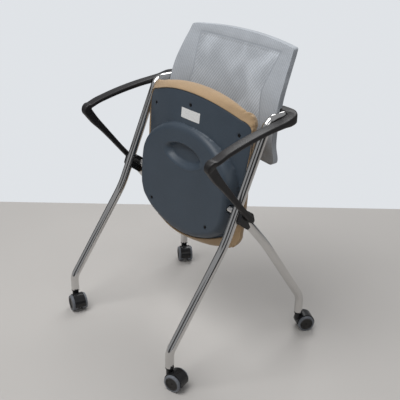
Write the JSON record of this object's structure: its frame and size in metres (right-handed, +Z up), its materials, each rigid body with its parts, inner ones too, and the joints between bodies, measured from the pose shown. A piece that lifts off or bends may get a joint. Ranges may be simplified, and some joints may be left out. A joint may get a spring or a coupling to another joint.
{
  "type": "nesting chair",
  "caption": "Nesting armchair on twin-wheel casters: bent tube sides, curved knit backrest, loop armrests and an upholstered seat that flips up under its moulded shell.",
  "frame": {"origin": "centre of the overall box at the floor, with the seat folded up", "axes": "+Z up, the chair faces -Y, +X to the sitter's left"},
  "size_m": [0.6378, 0.5584, 0.875],
  "materials": {
    "chrome_tube": "bright chrome",
    "arm_plastic": "fine matte texture",
    "black_plastic": "satin black",
    "shell_plastic": "satin slate grey",
    "frame_plastic": "satin grey",
    "knit": "ribbed knit",
    "upholstery": "woven cloth over foam",
    "plywood": "bare",
    "steel": "zinc plated",
    "bush_plastic": "smooth",
    "label_stock": "blank",
    "tread_rubber": "matte",
    "hub_plastic": "satin black"
  },
  "bodies": {
    "frame": {"front_leg_left": "chrome_tube", "rear_leg_left": "chrome_tube", "pivot_housing_left": "black_plastic", "stop_collar_left": "steel", "armrest_left": "arm_plastic", "front_leg_right": "chrome_tube", "rear_leg_right": "chrome_tube", "pivot_housing_right": "black_plastic", "stop_collar_right": "steel", "armrest_right": "arm_plastic", "cross_tube": "chrome_tube", "backrest_frame": "frame_plastic", "backrest_sleeve": "knit", "arm_bolts": "steel", "back_screws": "steel", "caster_socket_front_left": "black_plastic", "caster_socket_front_right": "black_plastic", "caster_socket_rear_left": "black_plastic", "caster_socket_rear_right": "black_plastic"},
    "seat": {"seat_shell": "shell_plastic", "seat_cushion": "upholstery", "blank_label": "label_stock", "seat_board": "plywood", "seat_bracket_left": "steel", "seat_bracket_right": "steel", "pivot_bush_left": "bush_plastic", "pivot_bush_right": "bush_plastic", "shell_screws": "steel", "bracket_bolts": "steel"},
    "swivel_front_left": {"caster_stem_front_left": "steel", "caster_hood_front_left": "black_plastic", "caster_axle_front_left": "steel"},
    "wheel_front_left_a": {"caster_hub_front_left_a": "hub_plastic", "caster_tread_front_left_a": "tread_rubber"},
    "wheel_front_left_b": {"caster_hub_front_left_b": "hub_plastic", "caster_tread_front_left_b": "tread_rubber"},
    "swivel_front_right": {"caster_stem_front_right": "steel", "caster_hood_front_right": "black_plastic", "caster_axle_front_right": "steel"},
    "wheel_front_right_a": {"caster_hub_front_right_a": "hub_plastic", "caster_tread_front_right_a": "tread_rubber"},
    "wheel_front_right_b": {"caster_hub_front_right_b": "hub_plastic", "caster_tread_front_right_b": "tread_rubber"},
    "swivel_rear_left": {"caster_stem_rear_left": "steel", "caster_hood_rear_left": "black_plastic", "caster_axle_rear_left": "steel"},
    "wheel_rear_left_a": {"caster_hub_rear_left_a": "hub_plastic", "caster_tread_rear_left_a": "tread_rubber"},
    "wheel_rear_left_b": {"caster_hub_rear_left_b": "hub_plastic", "caster_tread_rear_left_b": "tread_rubber"},
    "swivel_rear_right": {"caster_stem_rear_right": "steel", "caster_hood_rear_right": "black_plastic", "caster_axle_rear_right": "steel"},
    "wheel_rear_right_a": {"caster_hub_rear_right_a": "hub_plastic", "caster_tread_rear_right_a": "tread_rubber"},
    "wheel_rear_right_b": {"caster_hub_rear_right_b": "hub_plastic", "caster_tread_rear_right_b": "tread_rubber"}
  },
  "joints": [
    {"name": "seat_flip", "type": "hinge", "parent": "frame", "child": "seat", "pos_m": [-0.00688, 0.00197, 0.446], "axis": [1, 0, 0], "range_deg": [0, 93]},
    {"name": "swivel_front_left", "type": "hinge", "parent": "frame", "child": "swivel_front_left", "pos_m": [0.24311, -0.24603, 0.061], "axis": [0, 0, 1], "continuous": true},
    {"name": "roll_front_left_a", "type": "hinge", "parent": "swivel_front_left", "child": "wheel_front_left_a", "pos_m": [0.26404, -0.23923, 0.025], "axis": [-0.309, 0.9511, 0], "continuous": true},
    {"name": "roll_front_left_b", "type": "hinge", "parent": "swivel_front_left", "child": "wheel_front_left_b", "pos_m": [0.26404, -0.23923, 0.025], "axis": [-0.309, 0.9511, 0], "continuous": true},
    {"name": "swivel_front_right", "type": "hinge", "parent": "frame", "child": "swivel_front_right", "pos_m": [-0.25688, -0.24603, 0.061], "axis": [0, 0, 1], "continuous": true},
    {"name": "roll_front_right_a", "type": "hinge", "parent": "swivel_front_right", "child": "wheel_front_right_a", "pos_m": [-0.23537, -0.25061, 0.025], "axis": [0.2079, 0.9781, 0], "continuous": true},
    {"name": "roll_front_right_b", "type": "hinge", "parent": "swivel_front_right", "child": "wheel_front_right_b", "pos_m": [-0.23537, -0.25061, 0.025], "axis": [0.2079, 0.9781, 0], "continuous": true},
    {"name": "swivel_rear_left", "type": "hinge", "parent": "frame", "child": "swivel_rear_left", "pos_m": [0.27611, 0.22697, 0.061], "axis": [0, 0, 1], "continuous": true},
    {"name": "roll_rear_left_a", "type": "hinge", "parent": "swivel_rear_left", "child": "wheel_rear_left_a", "pos_m": [0.28644, 0.24639, 0.025], "axis": [-0.8829, 0.4695, 0], "continuous": true},
    {"name": "roll_rear_left_b", "type": "hinge", "parent": "swivel_rear_left", "child": "wheel_rear_left_b", "pos_m": [0.28644, 0.24639, 0.025], "axis": [-0.8829, 0.4695, 0], "continuous": true},
    {"name": "swivel_rear_right", "type": "hinge", "parent": "frame", "child": "swivel_rear_right", "pos_m": [-0.28989, 0.22697, 0.061], "axis": [0, 0, 1], "continuous": true},
    {"name": "roll_rear_right_a", "type": "hinge", "parent": "swivel_rear_right", "child": "wheel_rear_right_a", "pos_m": [-0.27083, 0.21597, 0.025], "axis": [0.5, 0.866, 0], "continuous": true},
    {"name": "roll_rear_right_b", "type": "hinge", "parent": "swivel_rear_right", "child": "wheel_rear_right_b", "pos_m": [-0.27083, 0.21597, 0.025], "axis": [0.5, 0.866, 0], "continuous": true}
  ]
}
